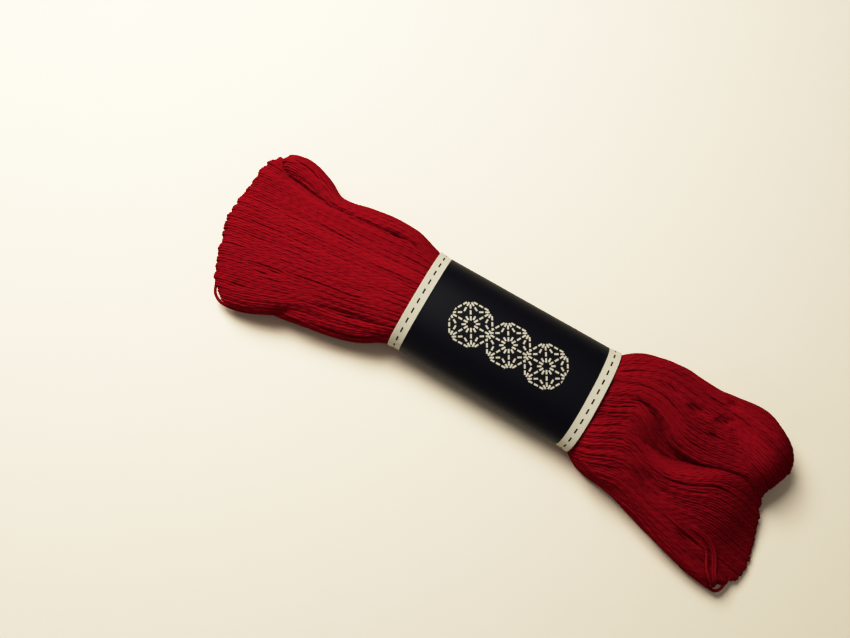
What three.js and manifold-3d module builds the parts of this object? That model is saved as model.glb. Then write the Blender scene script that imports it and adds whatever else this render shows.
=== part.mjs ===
// A skein of sashiko thread: one long hank of soft cotton, wound in loops, pressed flat and held
// at its middle by a paper band. Millimetres, +Z up, +X along the hank. The tables are measured
// from the middle of the band, and the group is then set with its origin under the middle of its box.
import * as THREE from "three";
import { LoftGeometry } from "three/addons/geometries/LoftGeometry.js";
import { mergeVertices } from "three/addons/utils/BufferGeometryUtils.js";
import Module from "manifold-3d";

// Driving dimensions
const BAND_LENGTH = 48.2; // along the hank
const BAND_WIDTH_LEFT = 24.9; // the band tapers a little, as the hank does inside it
const BAND_WIDTH_RIGHT = 26.0;
const BAND_HEIGHT_LEFT = 15.0;
const BAND_HEIGHT_RIGHT = 14.5;
const BAND_THICKNESS = 1.0;
const GAP = 0.3; // between the band and the thread, and beside its two edges
const PRESS = 0.35; // how far the weight flattens what lies on the table

// Shape of the sections
const SQUARENESS = 2.5; // exponent of the rounded sections: 2 is an ellipse
const BAND_SQUARENESS = 2.3;
const WAIST = 0.45; // height of a section's widest line, as a share of its height
const BAND_POINTS = 56;
const NECK_OVERLAP = 4; // how far the neck reaches into the two halves
const BORE_OVERRUN = 1; // how far the cut through the band passes its ends
const MERGE_DISTANCE = 1e-4;
const TABLE = { length: 300, width: 200, depth: 40 };

// Ridges of parallel thread along the hank, their spacing counted in points of a section
const RIDGE_DEPTH = 0.35;
const BROAD_RIDGE = { spacing: 8, share: 0.6 };
const FINE_RIDGE = { spacing: 4, share: 0.4 };
const RIDGE_DRIFT = 0.035; // radians of shift for each millimetre along the hank

// Finishes
const THREAD_RED = 0x9c0f1b;
const PAPER_NAVY = 0x12101c;

const LEFT = -1;
const RIGHT = 1;

// Each bundle runs from the band to its looped end. A row gives a section: its place along the hank,
// its near and far edge across it, and its lowest and highest point. An end row says how far the
// loops reach at a place across the bundle, from -1 at the near edge to 1 at the far edge. The nose
// is the length over which the loops turn down to the table.
const BUNDLES = {
  fan: {
    side: LEFT,
    points: 56,
    rings: 20,
    nose: 5.5,
    noseRings: 6,
    rows: [
      { x: -24.4, near: -12.2, far: 12.2, low: 0.3, high: 14.3 },
      { x: -27.5, near: -13.4, far: 13.0, low: -0.1, high: 14.4 },
      { x: -31.0, near: -14.4, far: 13.2, low: -PRESS, high: 14.1 },
      { x: -38.0, near: -16.0, far: 12.7, low: -PRESS, high: 13.4 },
      { x: -46.0, near: -17.7, far: 11.7, low: -PRESS, high: 12.6 },
      { x: -52.0, near: -20.6, far: 11.2, low: -PRESS, high: 11.9 },
      { x: -58.0, near: -23.0, far: 11.6, low: -PRESS, high: 11.2 },
      { x: -64.0, near: -24.0, far: 13.2, low: -PRESS, high: 10.5 },
      { x: -74.0, near: -24.0, far: 15.3, low: -PRESS, high: 9.7 },
    ],
    end: [
      { across: -1.0, x: -62.5 },
      { across: -0.9, x: -65.9 },
      { across: -0.75, x: -67.9 },
      { across: -0.6, x: -69.0 },
      { across: -0.4, x: -70.4 },
      { across: -0.2, x: -71.6 },
      { across: 0.0, x: -73.0 },
      { across: 0.3, x: -73.3 },
      { across: 0.6, x: -73.0 },
      { across: 0.85, x: -72.6 },
      { across: 1.0, x: -70.9 },
    ],
  },
  rolledLip: {
    side: LEFT,
    points: 22,
    rings: 16,
    nose: 4.0,
    noseRings: 4,
    rows: [
      { x: -24.4, near: 6.4, far: 12.3, low: 4.0, high: 11.6 },
      { x: -28.0, near: 7.8, far: 13.4, low: 3.2, high: 12.5 },
      { x: -31.0, near: 8.6, far: 14.2, low: 2.5, high: 13.0 },
      { x: -36.0, near: 8.3, far: 14.5, low: 2.0, high: 12.9 },
      { x: -43.0, near: 8.0, far: 13.7, low: 2.0, high: 11.9 },
      { x: -51.0, near: 7.6, far: 12.5, low: 1.2, high: 11.2 },
      { x: -56.0, near: 8.4, far: 14.9, low: 0.4, high: 11.5 },
      { x: -62.0, near: 9.6, far: 16.5, low: -PRESS, high: 11.8 },
      { x: -69.0, near: 9.9, far: 16.3, low: -PRESS, high: 10.9 },
    ],
    end: [
      { across: -1.0, x: -66.4 },
      { across: -0.4, x: -68.5 },
      { across: 0.2, x: -69.1 },
      { across: 0.7, x: -68.0 },
      { across: 1.0, x: -65.0 },
    ],
  },
  nearEdge: {
    side: LEFT,
    points: 20,
    rings: 12,
    nose: 4.0,
    noseRings: 3,
    rows: [
      { x: -24.4, near: -12.3, far: -5.0, low: 1.0, high: 11.0 },
      { x: -31.0, near: -15.6, far: -7.5, low: 0.0, high: 10.6 },
      { x: -37.0, near: -17.5, far: -9.6, low: -PRESS, high: 10.0 },
      { x: -44.0, near: -18.9, far: -11.6, low: -PRESS, high: 9.2 },
      { x: -50.0, near: -19.8, far: -13.0, low: -PRESS, high: 8.3 },
      { x: -60.0, near: -20.2, far: -14.0, low: -PRESS, high: 6.4 },
    ],
    end: [
      { across: -1.0, x: -58.0 },
      { across: 1.0, x: -59.0 },
    ],
  },
  upperLobe: {
    side: RIGHT,
    points: 38,
    rings: 18,
    nose: 9.0,
    noseRings: 6,
    rows: [
      { x: 24.4, near: -3.0, far: 13.2, low: 0.3, high: 13.9 },
      { x: 27.5, near: -1.4, far: 15.2, low: 0.0, high: 14.2 },
      { x: 31.0, near: 0.6, far: 16.7, low: -PRESS, high: 14.2 },
      { x: 35.0, near: 1.8, far: 17.7, low: -PRESS, high: 13.9 },
      { x: 40.0, near: 1.0, far: 18.1, low: -PRESS, high: 13.3 },
      { x: 46.0, near: -1.4, far: 17.9, low: -PRESS, high: 12.7 },
      { x: 52.0, near: -1.6, far: 18.0, low: -PRESS, high: 12.2 },
      { x: 57.0, near: -0.4, far: 18.6, low: -PRESS, high: 11.8 },
      { x: 63.0, near: 1.2, far: 18.2, low: -PRESS, high: 11.0 },
      { x: 73.0, near: 1.8, far: 16.6, low: -PRESS, high: 8.8 },
    ],
    end: [
      { across: -1.0, x: 69.8 },
      { across: -0.5, x: 71.2 },
      { across: 0.0, x: 72.2 },
      { across: 0.4, x: 72.4 },
      { across: 0.7, x: 70.5 },
      { across: 0.9, x: 68.2 },
      { across: 1.0, x: 65.0 },
    ],
  },
  endFold: {
    side: RIGHT,
    points: 24,
    rings: 14,
    nose: 8.0,
    noseRings: 4,
    rows: [
      { x: 42.0, near: 10.6, far: 16.6, low: 5.0, high: 10.4 },
      { x: 50.0, near: 8.8, far: 17.6, low: 4.0, high: 11.3 },
      { x: 56.0, near: 5.6, far: 18.5, low: 3.0, high: 12.5 },
      { x: 61.0, near: 2.4, far: 18.5, low: 2.5, high: 13.1 },
      { x: 66.0, near: 1.0, far: 17.2, low: 2.0, high: 12.2 },
      { x: 73.0, near: 0.6, far: 15.4, low: 1.0, high: 9.8 },
    ],
    end: [
      { across: -1.0, x: 69.0 },
      { across: -0.4, x: 71.1 },
      { across: 0.2, x: 72.4 },
      { across: 0.5, x: 72.0 },
      { across: 0.75, x: 70.3 },
      { across: 1.0, x: 65.5 },
    ],
  },
  sFold: {
    side: RIGHT,
    points: 28,
    rings: 18,
    nose: 4.0,
    noseRings: 3,
    rows: [
      { x: 24.4, near: 2.0, far: 10.0, low: 6.0, high: 13.8 },
      { x: 31.0, near: 3.4, far: 12.0, low: 6.0, high: 14.2 },
      { x: 36.0, near: 3.6, far: 12.4, low: 6.0, high: 14.2 },
      { x: 40.0, near: 2.0, far: 11.4, low: 6.0, high: 13.8 },
      { x: 44.0, near: -0.4, far: 9.6, low: 5.5, high: 13.2 },
      { x: 50.0, near: -1.4, far: 8.6, low: 5.0, high: 12.4 },
      { x: 56.0, near: -0.4, far: 8.8, low: 4.0, high: 11.6 },
      { x: 64.0, near: 1.8, far: 9.4, low: 3.0, high: 10.3 },
    ],
    end: [
      { across: -1.0, x: 67.0 },
      { across: 0.0, x: 68.4 },
      { across: 1.0, x: 68.0 },
    ],
  },
  valley: {
    side: RIGHT,
    points: 24,
    rings: 14,
    nose: 4.0,
    noseRings: 3,
    rows: [
      { x: 24.4, near: -7.0, far: 8.0, low: 2.0, high: 13.9 },
      { x: 30.0, near: -5.8, far: 7.6, low: 1.0, high: 13.6 },
      { x: 36.0, near: -6.4, far: 6.8, low: 0.5, high: 12.5 },
      { x: 42.0, near: -7.0, far: 5.4, low: 0.5, high: 10.4 },
      { x: 48.0, near: -6.4, far: 4.6, low: 0.5, high: 8.8 },
      { x: 56.0, near: -3.8, far: 4.8, low: 0.5, high: 7.8 },
      { x: 66.0, near: -2.0, far: 5.0, low: 0.5, high: 6.4 },
    ],
    end: [
      { across: -1.0, x: 65.0 },
      { across: 1.0, x: 65.6 },
    ],
  },
  lowerLobe: {
    side: RIGHT,
    points: 46,
    rings: 18,
    nose: 11.0,
    noseRings: 6,
    rows: [
      { x: 24.4, near: -12.8, far: 5.0, low: 0.3, high: 13.8 },
      { x: 27.5, near: -14.6, far: 3.4, low: 0.0, high: 13.9 },
      { x: 31.0, near: -15.6, far: 2.0, low: -PRESS, high: 13.5 },
      { x: 36.0, near: -16.1, far: 0.2, low: -PRESS, high: 12.9 },
      { x: 41.0, near: -17.2, far: -1.2, low: -PRESS, high: 12.3 },
      { x: 46.0, near: -18.6, far: -1.2, low: -PRESS, high: 11.9 },
      { x: 51.0, near: -20.1, far: 1.8, low: -PRESS, high: 11.8 },
      { x: 57.0, near: -21.8, far: 5.4, low: -PRESS, high: 11.4 },
      { x: 63.0, near: -22.9, far: 6.0, low: -PRESS, high: 10.2 },
      { x: 74.0, near: -24.0, far: 5.0, low: -PRESS, high: 7.8 },
    ],
    end: [
      { across: -1.0, x: 67.0 },
      { across: -0.85, x: 70.9 },
      { across: -0.6, x: 73.2 },
      { across: -0.3, x: 73.6 },
      { across: 0.0, x: 72.9 },
      { across: 0.3, x: 71.8 },
      { across: 0.55, x: 70.6 },
      { across: 0.75, x: 69.8 },
      { across: 1.0, x: 69.2 },
    ],
  },
  cornerLoops: {
    side: RIGHT,
    points: 20,
    rings: 12,
    nose: 4.5,
    noseRings: 4,
    rows: [
      { x: 42.0, near: -17.2, far: -12.0, low: 2.0, high: 8.2 },
      { x: 48.0, near: -19.3, far: -13.4, low: 0.5, high: 8.9 },
      { x: 55.0, near: -21.4, far: -15.2, low: -PRESS, high: 8.9 },
      { x: 62.0, near: -23.0, far: -17.0, low: -PRESS, high: 8.5 },
      { x: 71.0, near: -24.3, far: -18.4, low: -PRESS, high: 7.0 },
    ],
    end: [
      { across: -1.0, x: 68.8 },
      { across: -0.3, x: 71.0 },
      { across: 0.4, x: 72.0 },
      { across: 1.0, x: 71.5 },
    ],
  },
};

const wasm = await Module();
wasm.setup();

// Smooth value of one column of a table at a place along its key column
function smooth(rows, key, column, at) {
  const forward = rows[0][key] < rows.at(-1)[key] ? rows : [...rows].reverse();
  const last = forward.length - 1;
  const place = THREE.MathUtils.clamp(at, forward[0][key], forward[last][key]);
  let i = 0;
  while (i < last - 1 && place > forward[i + 1][key]) i += 1;
  const slope = (j) => {
    const a = forward[Math.max(j - 1, 0)];
    const b = forward[Math.min(j + 1, last)];
    return (b[column] - a[column]) / (b[key] - a[key]);
  };
  const from = forward[i];
  const to = forward[i + 1];
  const span = to[key] - from[key];
  const t = (place - from[key]) / span;
  const rise = to[column] - from[column];
  const bend = (1 - t) * (slope(i) * span - rise) - t * (slope(i + 1) * span - rise);
  return from[column] + rise * t + t * (1 - t) * bend;
}

// A unit rounded section: its place across and up at an angle from the far edge
function roundedSection(angle, squareness) {
  const power = 2 / squareness;
  const across = Math.sign(Math.cos(angle)) * Math.abs(Math.cos(angle)) ** power;
  const up = Math.sign(Math.sin(angle)) * Math.abs(Math.sin(angle)) ** power;
  return { across, up };
}

// Height of the ridges that parallel thread makes over the top of a section
function ridge(angle, x, points) {
  const drift = x * RIDGE_DRIFT;
  const broad = Math.cos((points / BROAD_RIDGE.spacing) * angle + drift);
  const fine = Math.cos((points / FINE_RIDGE.spacing) * angle - 2 * drift);
  return RIDGE_DEPTH * (BROAD_RIDGE.share * broad + FINE_RIDGE.share * fine);
}

// One point of a bundle's surface, with its thickness scaled by the turn of the loops
function bundlePoint(bundle, angle, placeOf, thickness) {
  const { across, up } = roundedSection(angle, SQUARENESS);
  const x = placeOf(smooth(bundle.end, "across", "x", across));
  const near = smooth(bundle.rows, "x", "near", x);
  const far = smooth(bundle.rows, "x", "far", x);
  const low = smooth(bundle.rows, "x", "low", x);
  const high = smooth(bundle.rows, "x", "high", x);
  const waist = low + WAIST * (high - low);
  const reach = up > 0 ? high - waist : waist - low;
  const lift = up > 0 ? ridge(angle, x, bundle.points) * thickness : 0;
  const y = (near + far) / 2 + ((far - near) / 2) * across + lift * Math.cos(angle) * Math.abs(up);
  const z = waist + (reach + lift) * up * thickness;
  return new THREE.Vector3(x, y, z);
}

// A ring of points round a bundle, counter-clockwise as seen from its looped end
function bundleRing(bundle, placeOf, thickness) {
  const ring = [];
  for (let i = 0; i < bundle.points; i += 1) {
    const turn = (i / bundle.points) * Math.PI * 2;
    const angle = bundle.side === RIGHT ? turn : -turn;
    ring.push(bundlePoint(bundle, angle, placeOf, thickness));
  }
  return ring;
}

// A bundle as a loft from the band to the edge where its loops turn back underneath
function bundleGeometry(bundle) {
  const start = bundle.rows[0].x;
  const nose = bundle.nose * bundle.side;
  const sections = [];
  for (let i = 0; i < bundle.rings; i += 1) {
    const share = i / bundle.rings;
    sections.push(bundleRing(bundle, (end) => start + (end - nose - start) * share, 1));
  }
  for (let i = 0; i <= bundle.noseRings; i += 1) {
    const turn = (i / bundle.noseRings) * (Math.PI / 2);
    const thickness = i === bundle.noseRings ? 0 : Math.cos(turn);
    sections.push(bundleRing(bundle, (end) => end - nose * (1 - Math.sin(turn)), thickness));
  }
  return new LoftGeometry(sections, { capStart: true });
}

// The band's outline at a place along it, drawn in by an inset
function bandRing(x, inset) {
  const end = BAND_LENGTH / 2;
  const width = THREE.MathUtils.mapLinear(x, -end, end, BAND_WIDTH_LEFT, BAND_WIDTH_RIGHT);
  const height = THREE.MathUtils.mapLinear(x, -end, end, BAND_HEIGHT_LEFT, BAND_HEIGHT_RIGHT);
  const half = width / 2 - inset;
  const middle = height / 2 - PRESS / 2;
  const reach = height / 2 + PRESS / 2 - inset;
  const ring = [];
  for (let i = 0; i < BAND_POINTS; i += 1) {
    const { across, up } = roundedSection((i / BAND_POINTS) * Math.PI * 2, BAND_SQUARENESS);
    ring.push(new THREE.Vector3(x, half * across, middle + reach * up));
  }
  return ring;
}

// A closed tube of the band's shape, as long as the band and some overrun at each end
function tubeGeometry(inset, overrun) {
  const reach = BAND_LENGTH / 2 + overrun;
  const sections = [bandRing(-reach, inset), bandRing(reach, inset)];
  return new LoftGeometry(sections, { capStart: true, capEnd: true });
}

// A closed geometry as a solid that can be joined and cut
function solidOf(geometry) {
  const bare = new THREE.BufferGeometry();
  bare.setAttribute("position", geometry.getAttribute("position"));
  bare.setIndex(geometry.index);
  const merged = mergeVertices(bare, MERGE_DISTANCE);
  const corners = merged.index.array;
  const kept = [];
  for (let i = 0; i < corners.length; i += 3) {
    const [a, b, c] = corners.slice(i, i + 3);
    if (a !== b && b !== c && c !== a) kept.push(a, b, c);
  }
  const mesh = new wasm.Mesh({
    numProp: 3,
    vertProperties: merged.getAttribute("position").array,
    triVerts: new Uint32Array(kept),
  });
  mesh.merge();
  return new wasm.Manifold(mesh);
}

// A joined or cut solid as a geometry again
function geometryOf(solid) {
  const { vertProperties, triVerts } = solid.getMesh();
  const geometry = new THREE.BufferGeometry();
  geometry.setAttribute("position", new THREE.BufferAttribute(vertProperties, 3));
  geometry.setIndex(new THREE.BufferAttribute(triVerts, 1));
  geometry.computeVertexNormals();
  return geometry;
}

// What lies below the table's surface, which flattens the thread and the paper on it
function tableSolid() {
  const slab = new THREE.BoxGeometry(TABLE.length, TABLE.width, TABLE.depth);
  slab.translate(0, 0, -TABLE.depth / 2);
  return solidOf(slab);
}

const table = tableSolid();

// The hank is one solid: its bundles joined through the narrow neck inside the band
function hankMesh() {
  const neck = tubeGeometry(BAND_THICKNESS + GAP, GAP + NECK_OVERLAP);
  let hank = solidOf(neck);
  for (const bundle of Object.values(BUNDLES)) hank = hank.add(solidOf(bundleGeometry(bundle)));
  const thread = new THREE.MeshStandardMaterial({ color: THREAD_RED, roughness: 0.75, metalness: 0 });
  const mesh = new THREE.Mesh(geometryOf(hank.subtract(table)), thread);
  mesh.name = "hank";
  return mesh;
}

// The paper band is a sleeve round the neck
function bandMesh() {
  const sleeve = solidOf(tubeGeometry(0, 0));
  const bore = solidOf(tubeGeometry(BAND_THICKNESS, BORE_OVERRUN));
  const paper = new THREE.MeshStandardMaterial({ color: PAPER_NAVY, roughness: 0.45, metalness: 0 });
  const mesh = new THREE.Mesh(geometryOf(sleeve.subtract(bore).subtract(table)), paper);
  mesh.name = "band";
  return mesh;
}

const skein = new THREE.Group();
skein.add(hankMesh(), bandMesh());

// The origin goes under the middle of the skein's box, on the table
const box = new THREE.Box3().setFromObject(skein);
const centre = box.getCenter(new THREE.Vector3());
for (const mesh of skein.children) mesh.position.set(-centre.x, -centre.y, 0);

export default skein;
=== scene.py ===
"""Dresses a skein of sashiko thread: every strand of the hank, the printed paper band, floor and light."""
import logging
import math
from collections.abc import Mapping, Sequence
from dataclasses import dataclass
from enum import Enum
from functools import partialmethod
from typing import NamedTuple, TypeVar

import bmesh
import bpy
import numpy as np
import numpy.typing as npt
from bpy.types import ID, Material, Mesh, Node, NodeSocket, Object
from mathutils import Matrix, Vector
from numpy.random import Generator, default_rng


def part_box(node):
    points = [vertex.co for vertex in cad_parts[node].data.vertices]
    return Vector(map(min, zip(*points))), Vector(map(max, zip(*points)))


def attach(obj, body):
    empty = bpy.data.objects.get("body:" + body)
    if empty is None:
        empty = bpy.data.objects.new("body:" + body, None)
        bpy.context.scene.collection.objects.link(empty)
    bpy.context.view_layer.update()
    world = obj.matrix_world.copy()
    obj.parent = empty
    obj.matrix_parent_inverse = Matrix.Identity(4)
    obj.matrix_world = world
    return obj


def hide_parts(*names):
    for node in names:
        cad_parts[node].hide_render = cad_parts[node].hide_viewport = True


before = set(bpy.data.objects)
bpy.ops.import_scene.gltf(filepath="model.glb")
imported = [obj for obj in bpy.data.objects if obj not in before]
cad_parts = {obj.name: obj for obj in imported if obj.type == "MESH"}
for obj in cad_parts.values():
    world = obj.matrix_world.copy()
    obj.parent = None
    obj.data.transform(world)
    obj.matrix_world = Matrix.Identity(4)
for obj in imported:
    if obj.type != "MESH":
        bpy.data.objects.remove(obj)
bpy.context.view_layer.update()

Floats = npt.NDArray[np.float64]
Spot = tuple[float, float, float]
Colour = tuple[float, float, float]
Row = TypeVar("Row", bound=tuple)

MM = 0.001
WARM: Colour = (1.0, 0.90, 0.82)
LOG = logging.getLogger("skein")


class Side(Enum):
    """Which way a bundle of thread runs from the band."""

    LEFT = -1
    RIGHT = 1


class Ramp(NamedTuple):
    """A rise from 0 to 1 along some measure."""

    start: float
    span: float

    def __call__(self, at: Floats) -> Floats:
        """How far up the rise each place is."""
        return np.clip((at - self.start) / self.span, 0, 1)


class Station(NamedTuple):
    """One section of a bundle, in millimetres from the middle of the band."""

    x: float
    near: float
    far: float
    high: float
    low: float = 0.0


class Reach(NamedTuple):
    """How far the loops reach along the hank at a place across a bundle, from -1 near to 1 far."""

    across: float
    x: float


class Drift(NamedTuple):
    """How far towards the near edge the strands of a bundle lie at a place along the hank."""

    x: float
    shift: float


class Parting(NamedTuple):
    """A line in plan where neighbouring strands on top of the hank stand apart, in millimetres."""

    x0: float
    y0: float
    x1: float
    y1: float
    gap: float
    depth: float
    top: Ramp = Ramp(5.0, 3.0)
    taper: float = 0.8
    crest: float = 0.22
    reach: float = 1.5
    groove: float = 0.9

    def shift(self, points: Floats) -> Floats:
        """How far strands move away from the parting and down into it.

        Args:
            points: strand points in millimetres, strands by points by 3.

        Returns:
            The move of each point.
        """
        run = np.array([self.x1 - self.x0, self.y1 - self.y0])
        length = float(np.linalg.norm(run))
        along = (points[..., :2] - (self.x0, self.y0)) @ run / length**2
        beside = (points[..., 1] - self.y0) * run[0] - (points[..., 0] - self.x0) * run[1]
        beside = beside / length
        swell = np.sin(math.pi * np.clip(along, 0, 1)) ** self.taper * self.top(points[..., 2])
        push = self.gap / 2 * swell * np.tanh(beside / self.crest) * np.exp(-np.abs(beside) / self.reach)
        fall = self.depth * swell * np.exp(-((beside / self.groove) ** 2))
        return np.stack((-push * run[1] / length, push * run[0] / length, -fall), axis=-1)


class Dent(NamedTuple):
    """A soft hollow, or with a negative depth a swelling, in the top of the hank, in millimetres."""

    x: float
    y: float
    length: float
    width: float
    turn: float
    depth: float
    top: Ramp = Ramp(0.0, 8.0)

    def shift(self, points: Floats) -> Floats:
        """How far points sink into the hollow, or rise with the swelling.

        Args:
            points: points in millimetres, with 3 as the array's last size.

        Returns:
            The move of each point.
        """
        dx = points[..., 0] - self.x
        dy = points[..., 1] - self.y
        u = (dx * math.cos(self.turn) + dy * math.sin(self.turn)) / self.length
        v = (dy * math.cos(self.turn) - dx * math.sin(self.turn)) / self.width
        move = np.zeros_like(points)
        move[..., 2] = -self.depth * np.exp(-(u**2 + v**2)) * self.top(points[..., 2])
        return move


class Lock(NamedTuple):
    """A few strands that leave their bundle side by side, by the points they pass in millimetres."""

    strands: int
    points: tuple[Spot, ...]


def table(kind: type[Row], *rows: tuple[float, ...]) -> tuple[Row, ...]:
    """Gives the rows of a short table the names of their columns."""
    return tuple(kind(*row) for row in rows)


def moved(points: Floats, marks: Sequence[Parting | Dent]) -> Floats:
    """Points moved by all the partings or dents, each of which reads the points as they were."""
    return sum((mark.shift(points) for mark in marks), start=points)


def distances(points: Floats) -> Floats:
    """Distance of each point along its line, for lines of points whose places are in the last column."""
    steps = np.linalg.norm(np.diff(points, axis=-2), axis=-1)
    return np.insert(np.cumsum(steps, axis=-1), 0, 0.0, axis=-1)


def rounded(angle: Floats, squareness: float) -> tuple[Floats, Floats]:
    """The place across and the place up on a unit section, an ellipse at 2 and squarer above."""
    waves = (np.cos(angle), np.sin(angle))
    return tuple(np.sign(wave) * np.abs(wave) ** (2 / squareness) for wave in waves)


@dataclass(frozen=True)
class Track:
    """A smooth line through a few known values."""

    places: Sequence[float] | Floats
    values: Sequence[float] | Floats

    @classmethod
    def through(cls, rows: Sequence[tuple], place: str, value: str) -> "Track":
        """The line of one column of a table over another."""
        return cls([getattr(row, place) for row in rows], [getattr(row, value) for row in rows])

    def __call__(self, at: Floats) -> Floats:
        """Reads the line.

        Args:
            at: places at which to read it, held within its ends.

        Returns:
            The value at each place.
        """
        order = np.argsort(self.places)
        places = np.asarray(self.places)[order]
        values = np.asarray(self.values)[order]
        inside = np.clip(at, places[0], places[-1])
        i = np.clip(np.searchsorted(places, inside) - 1, 0, len(places) - 2)
        slopes = np.empty_like(values)
        slopes[1:-1] = (values[2:] - values[:-2]) / (places[2:] - places[:-2])
        slopes[0] = (values[1] - values[0]) / (places[1] - places[0])
        slopes[-1] = (values[-1] - values[-2]) / (places[-1] - places[-2])
        span = places[i + 1] - places[i]
        t = (inside - places[i]) / span
        rise = values[i + 1] - values[i]
        bend = (1 - t) * (slopes[i] * span - rise) - t * (slopes[i + 1] * span - rise)
        return values[i] + rise * t + t * (1 - t) * bend


def smooth_line(points: tuple[Spot, ...], count: int) -> Floats:
    """A smooth line of so many points, evenly spread, through a few points in space."""
    run = distances(np.array(points))
    return np.stack([Track(run, row)(np.linspace(0, run[-1], count)) for row in zip(*points)], axis=-1)


@dataclass(frozen=True)
class Wander:
    """A slow stray from the straight, which neighbouring strands partly share, in millimetres."""

    wavelength: float
    size: float
    kinship: float
    octaves: tuple[float, ...] = (0.7, 0.35)
    paces: tuple[float, float] = (0.85, 1.15)

    def over(self, rng: Generator, strands: int, along: Floats) -> Floats:
        """Strays of strands that lie side by side.

        Args:
            rng: source of the phases.
            strands: how many strands there are.
            along: places along them in millimetres.

        Returns:
            Millimetres of stray, strands by places.
        """
        total = np.zeros((strands, len(along)))
        for octave, share in enumerate(self.octaves):
            steps = rng.normal(0, self.kinship * (octave + 1), strands)
            phase = rng.uniform(0, math.tau) + np.cumsum(steps)
            pace = 2**octave * rng.uniform(*self.paces, strands) / self.wavelength
            total += share * np.sin(math.tau * pace[:, None] * along + phase[:, None])
        return self.size * total


@dataclass(frozen=True)
class ThreadStock:
    """The thread, how finely it is modelled and how unevenly it lies, in millimetres."""

    radius: float = 0.36
    pitch: float = 0.60
    twist_pitch: float = 2.4
    plies: int = 3
    sides: int = 6

    # The second layer, in shares of the pitch, the radius, half a turn and the strands' own wander
    under_sides: int = 5
    under_pitch: float = 1.1
    under_depth: float = 2.4
    under_turn: float = 0.7
    under_own: float = 2.0
    under_reach: float = -0.6

    # Unevenness along the strands
    shared: Wander = Wander(wavelength=34.0, size=0.26, kinship=0.2)
    own: Wander = Wander(wavelength=13.0, size=0.10, kinship=2.0)
    stray: Wander = Wander(wavelength=55.0, size=1.4, kinship=3.0)
    lay: Wander = Wander(wavelength=18.0, size=0.09, kinship=2.0)
    stray_share: float = 0.05
    stray_lift: float = 0.2
    free: Ramp = Ramp(0.15, 0.25)
    held: float = 0.3
    calm: Ramp = Ramp(0.7, 0.3)
    calming: float = 0.6

    # Depth in the bundle, where strands crowd over each other near the band
    bedding: float = 0.05
    stack: tuple[float, ...] = (0.0, 0.2, 0.4)
    stack_fade: float = 1.3

    # Loops at the end, which gather in small groups
    group_sizes: tuple[int, ...] = (2, 3, 3, 4, 5)
    looped: Ramp = Ramp(0.94, 0.06)
    pinch: float = 0.03
    loop_round: float = 0.1
    loop_stray: float = 0.04

    def grouped(self, rng: Generator, strands: int) -> tuple[Floats, Floats]:
        """Sorts neighbouring strands into the small groups in which their loops lie.

        Args:
            rng: source of the group sizes and of their numbers.
            strands: how many strands there are.

        Returns:
            Each strand's place in its group counted from the middle, and its group's number from -1 to 1.
        """
        sizes = rng.choice(self.group_sizes, strands)
        group = np.repeat(np.arange(strands), sizes)[:strands]
        order = np.arange(strands)
        middle = np.bincount(group, order) / np.maximum(np.bincount(group), 1)
        return order - middle[group], rng.uniform(-1, 1, strands)[group]


class Course(NamedTuple):
    """Points along a strand, from the band over the top, round the end and back below.

    Their share of the straight run is 0 in the band and 1 at the end, and their turn round the end is
    0 on top and pi below.
    """

    share: Floats
    turn: Floats

    @classmethod
    def laid(cls, top: int, bend: Floats, bottom: int) -> "Course":
        """So many points on top, one at each turn of the bend, and so many below."""
        share = np.concatenate((np.linspace(0, 1, top), np.ones(len(bend)), np.linspace(1, 0, bottom)))
        return cls(share, np.concatenate((np.zeros(top), bend, np.full(bottom, math.pi))))


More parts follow.
